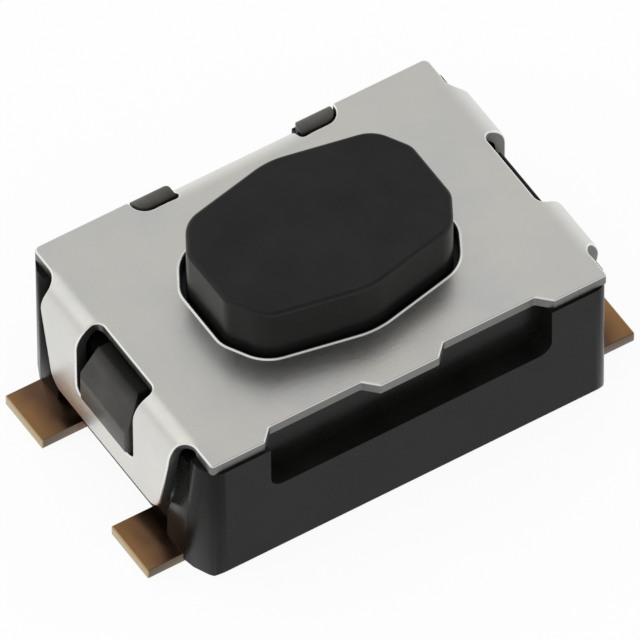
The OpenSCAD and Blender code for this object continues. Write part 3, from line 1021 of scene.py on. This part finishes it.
# Each lamp's name, place and size in metres, setting, and whether mirrors show it
LAMPS = (
    ("soft_lamp_behind", (-0.12, 0.22, 0.25), 0.24, "key_light", True),
    ("soft_lamp_left", (-0.28, 0.02, 0.14), 0.20, "side_light", False),
)
# The middle of the darker front, and the cosines at which it begins and is full
FRONT_WAY, FRONT_EDGE = (0.338, -0.544, 0.768), (0.74, 0.93)


def soft_lamp(name, place, size, radiance, in_mirrors):
    """A square soft lamp that looks at the switch. Its power is radiance * pi * area."""
    data = bpy.data.lights.new(name, "AREA")
    data.shape = "SQUARE"
    data.size = size
    data.energy = radiance * math.pi * size * size
    lamp = bpy.data.objects.new(name, data)
    lamp.location = place
    lamp.rotation_mode = "QUATERNION"
    lamp.rotation_quaternion = (-Vector(place)).to_track_quat("-Z", "Y")
    lamp.visible_camera = False
    lamp.visible_glossy = in_mirrors
    bpy.context.scene.collection.objects.link(lamp)


# Operators


class SWITCH_OT_add_cover(bpy.types.Operator):
    """Adds the folded steel cover"""

    bl_idname = "switch.add_cover"
    bl_label = "Add cover"

    def execute(self, context):
        scene = context.scene
        *shape, marks = cover_mesh(in_mm(scene.switch_cover), in_mm(scene.switch_button))
        finish = steel_finish("satin_cover_steel", scene.switch_finish.steel, 0.30)
        piece = make_piece("folded_cover", shape, finish, "housing", "cover_steel", "cover")
        # Cut walls, and rubbed edges that carry a painted highlight
        for name, values in zip(("cut", "rubbed_highlight"), marks.T):
            mark = piece.data.attributes.new(name, "FLOAT", "POINT")
            mark.data.foreach_set("value", np.ascontiguousarray(values, dtype=np.float32))
        return {"FINISHED"}


class SWITCH_OT_add_button(bpy.types.Operator):
    """Adds the button with its flange and nub"""

    bl_idname = "switch.add_button"
    bl_label = "Add button"

    def execute(self, context):
        scene = context.scene
        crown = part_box("actuator")[0].z / MM
        shape = button_mesh(in_mm(scene.switch_button), crown)
        finish = resin_finish("matt_button_resin", scene.switch_finish.button, 0.32, 1.4, 0.22)
        make_piece("moulded_button", shape, finish, "button", "button_resin", "actuator")
        return {"FINISHED"}


class SWITCH_OT_add_dome(bpy.types.Operator):
    """Adds the snap dome"""

    bl_idname = "switch.add_dome"
    bl_label = "Add snap dome"

    def execute(self, context):
        scene = context.scene
        sizes = in_mm(scene.switch_dome)
        shape = dome_mesh(sizes)
        finish = steel_finish("spring_dome_steel", scene.switch_finish.dome_steel, 0.22)
        piece = make_piece("spring_dome", shape, finish, "housing", "dome_steel", "snap_dome")
        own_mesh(piece)
        return {"FINISHED"}


class SWITCH_OT_add_base(bpy.types.Operator):
    """Adds the moulded base"""

    bl_idname = "switch.add_base"
    bl_label = "Add base"

    def execute(self, context):
        scene = context.scene
        sizes = in_mm(scene.switch_moulding)
        tone = scene.switch_finish.base
        # The base's bosses and post tops get painted light
        finish = resin_finish("moulded_base_resin", tone, 0.27, 0.9, 0.12, painted_light=True)
        softened_copy(
            "moulded_base",
            "base_housing",
            sizes.base_edge,
            sizes.steps,
            finish,
            "housing",
            "housing_resin",
            shaped=partial(round_posts, radius=sizes.post_round * MM),
            plain=in_seat_end,
        )
        return {"FINISHED"}


class SWITCH_OT_add_contacts(bpy.types.Operator):
    """Adds the two contacts with their four terminals"""

    bl_idname = "switch.add_contacts"
    bl_label = "Add contacts"

    def execute(self, context):
        scene = context.scene
        sizes = in_mm(scene.switch_moulding)
        finish = plating_finish("contact_plating", scene.switch_finish)
        edge, steps = sizes.contact_edge, sizes.steps
        for node in ("centre_contact", "rim_contact"):
            name = f"plated_{node}"
            softened_copy(name, node, edge, steps, finish, "housing", "contact_plating")
        return {"FINISHED"}


class SWITCH_OT_add_stage(bpy.types.Operator):
    """Adds the floor, the camera, the lamps and the plain surround"""

    bl_idname = "switch.add_stage"
    bl_label = "Add stage"

    def execute(self, context):
        scene = context.scene
        stage = scene.switch_stage
        self.add_floor(scene)
        self.add_camera(scene, stage)
        for name, place, size, setting, in_mirrors in LAMPS:
            soft_lamp(name, place, size, getattr(stage, setting), in_mirrors)
        self.add_surround(scene, stage)
        scene.view_settings.view_transform = "Standard"
        return {"FINISHED"}

    def add_floor(self, scene):
        around = (-1, -1), (1, -1), (1, 1), (-1, 1)
        corners = [(x * FLOOR_HALF, y * FLOOR_HALF, 0) for x, y in around]
        mesh = bpy.data.meshes.new("pale_floor")
        mesh.from_pydata(corners, [], [(0, 1, 2, 3)])
        mesh.materials.append(floor_finish("pale_floor", scene.switch_finish.floor))
        floor = bpy.data.objects.new("pale_floor", mesh)
        scene.collection.objects.link(floor)

    def add_camera(self, scene, stage):
        a, e, r = stage.azimuth, stage.elevation, stage.roll
        back = Vector((math.sin(a) * math.cos(e), -math.cos(a) * math.cos(e), math.sin(e)))
        level = Vector((math.cos(a), math.sin(a), 0))
        rise = back.cross(level)
        right = level * math.cos(r) + rise * math.sin(r)
        up = rise * math.cos(r) - level * math.sin(r)
        data = bpy.data.cameras.new("camera")
        data.sensor_width = SENSOR_WIDTH
        data.lens = SENSOR_WIDTH * stage.distance / stage.view_width
        data.clip_start = 0.01
        data.clip_end = 10.0
        camera = bpy.data.objects.new("camera", data)
        scene.collection.objects.link(camera)
        place = Vector((0, 0, stage.aim_height)) - up * stage.aim_down + back * stage.distance
        turned = Matrix((right, up, back)).transposed().to_4x4()
        camera.matrix_world = Matrix.Translation(place) @ turned
        scene.camera = camera

    def add_surround(self, scene, stage):
        """Plain light all round: white where it is looked at, and softer on matt surfaces.

        In mirrors it is white at the horizon, greyer overhead, and darker on the camera's side.
        """
        world = bpy.data.worlds.new("surround")
        world.use_nodes = True
        scene.world = world
        nodes = Nodes(world.node_tree)
        way = nodes.add("ShaderNodeTexCoord", output="Generated")
        up = nodes.add("ShaderNodeSeparateXYZ", None, {"Vector": way}, "Z")
        greyed = 1.0 - nodes.spread(up, 0.0, stage.grey_to) * (1.0 - stage.overhead)
        toward = nodes.add(
            "ShaderNodeVectorMath", {"operation": "DOT_PRODUCT"}, {0: way, 1: FRONT_WAY}, "Value"
        )
        greyed = greyed * (1.0 - nodes.spread(toward, *FRONT_EDGE) * stage.front)
        matt, reflected, seen = (
            nodes.add("ShaderNodeBackground", None, {"Color": WHITE, "Strength": strength})
            for strength in (stage.world_light, greyed, 1.0)
        )
        straight = nodes.add("ShaderNodeLightPath", output="Is Camera Ray")
        inputs = {0: seen_or_mirrored(nodes), 1: matt, 2: reflected}
        first = nodes.add("ShaderNodeMixShader", None, inputs)
        last = nodes.add("ShaderNodeMixShader", None, {0: straight, 1: first, 2: seen})
        nodes.out(last, "ShaderNodeOutputWorld")


class SWITCH_PT_panel(bpy.types.Panel):
    """The switch's pieces and sizes in the 3D view's sidebar"""

    bl_label = "Tactile switch"
    bl_space_type = "VIEW_3D"
    bl_region_type = "UI"
    bl_category = "Push Switch"

    def draw(self, context):
        for operator in OPERATORS:
            self.layout.operator(operator.bl_idname)
        for name, group in GROUPS.items():
            box = self.layout.box()
            box.label(text=group.__doc__)
            for prop in own_properties(group):
                box.prop(getattr(context.scene, name), prop.identifier)


GROUPS = {
    "switch_cover": CoverSizes,
    "switch_button": ButtonSizes,
    "switch_dome": DomeSizes,
    "switch_moulding": MouldingSizes,
    "switch_finish": Finishes,
    "switch_stage": StageSettings,
}
OPERATORS = (
    SWITCH_OT_add_stage,
    SWITCH_OT_add_base,
    SWITCH_OT_add_contacts,
    SWITCH_OT_add_dome,
    SWITCH_OT_add_button,
    SWITCH_OT_add_cover,
)


def register():
    for cls in (*GROUPS.values(), *OPERATORS, SWITCH_PT_panel):
        bpy.utils.register_class(cls)
    for name, group in GROUPS.items():
        setattr(bpy.types.Scene, name, PointerProperty(type=group))


def unregister():
    for name in GROUPS:
        delattr(bpy.types.Scene, name)
    for cls in reversed((*GROUPS.values(), *OPERATORS, SWITCH_PT_panel)):
        bpy.utils.unregister_class(cls)


def main():
    register()
    bpy.ops.switch.add_stage()
    bpy.ops.switch.add_base()
    bpy.ops.switch.add_contacts()
    bpy.ops.switch.add_dome()
    bpy.ops.switch.add_button()
    bpy.ops.switch.add_cover()


if __name__ == "__main__":
    main()
